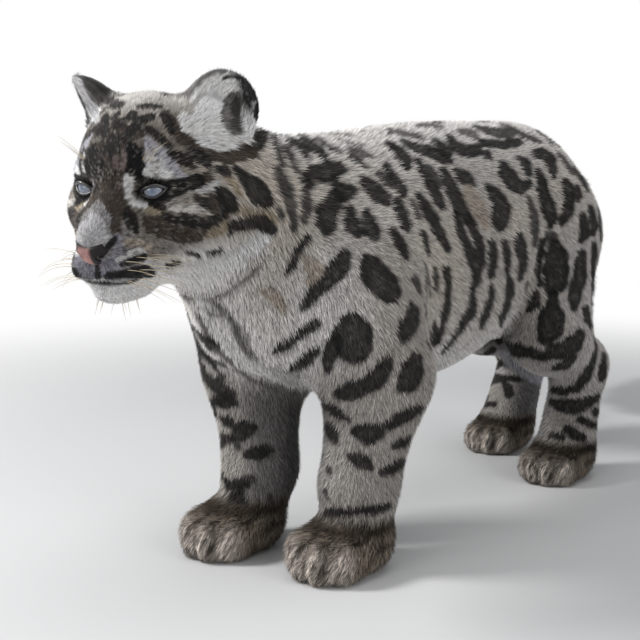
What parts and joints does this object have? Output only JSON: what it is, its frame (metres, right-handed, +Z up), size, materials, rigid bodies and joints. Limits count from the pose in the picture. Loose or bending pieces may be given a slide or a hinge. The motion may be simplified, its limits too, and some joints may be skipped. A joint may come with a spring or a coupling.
{
  "type": "snow leopard",
  "caption": "Life-size standing snow leopard, a still model with its head turned a little to its left and its long thick tail held low behind it.",
  "frame": {"origin": "on the floor, under the middle of the whole animal's bounding box", "axes": "+Z up, the animal looks along -Y, its left side is +X"},
  "size_m": [0.4498, 1.6312, 0.593],
  "materials": {
    "coat": "dense grey fur with charcoal rosettes and stripes",
    "face_coat": "short streaked fur, grey, brown and black, white at the chin",
    "paw_coat": "short brown and tan fur",
    "ear_coat": "short pale fur inside, dark at the back",
    "nose": "bare pink skin",
    "eye": "wet, pale blue grey",
    "claw": "satin horn"
  },
  "bodies": {
    "root": {"upper_leg_front_left": "coat", "lower_leg_front_left": "coat", "paw_front_left": "paw_coat", "claw_front_left_1": "claw", "claw_front_left_2": "claw", "claw_front_left_3": "claw", "claw_front_left_4": "claw", "upper_leg_front_right": "coat", "lower_leg_front_right": "coat", "paw_front_right": "paw_coat", "claw_front_right_1": "claw", "claw_front_right_2": "claw", "claw_front_right_3": "claw", "claw_front_right_4": "claw", "upper_leg_hind_left": "coat", "lower_leg_hind_left": "coat", "paw_hind_left": "paw_coat", "claw_hind_left_1": "claw", "claw_hind_left_2": "claw", "claw_hind_left_3": "claw", "claw_hind_left_4": "claw", "upper_leg_hind_right": "coat", "lower_leg_hind_right": "coat", "paw_hind_right": "paw_coat", "claw_hind_right_1": "claw", "claw_hind_right_2": "claw", "claw_hind_right_3": "claw", "claw_hind_right_4": "claw", "neck": "coat", "torso_front": "coat", "torso_rear": "coat", "tail_1": "coat", "tail_2": "coat", "tail_3": "coat", "tail_4": "coat", "head": "face_coat", "ear_left": "ear_coat", "ear_right": "ear_coat", "eye_left": "eye", "eye_right": "eye", "nose": "nose"}
  },
  "joints": []
}
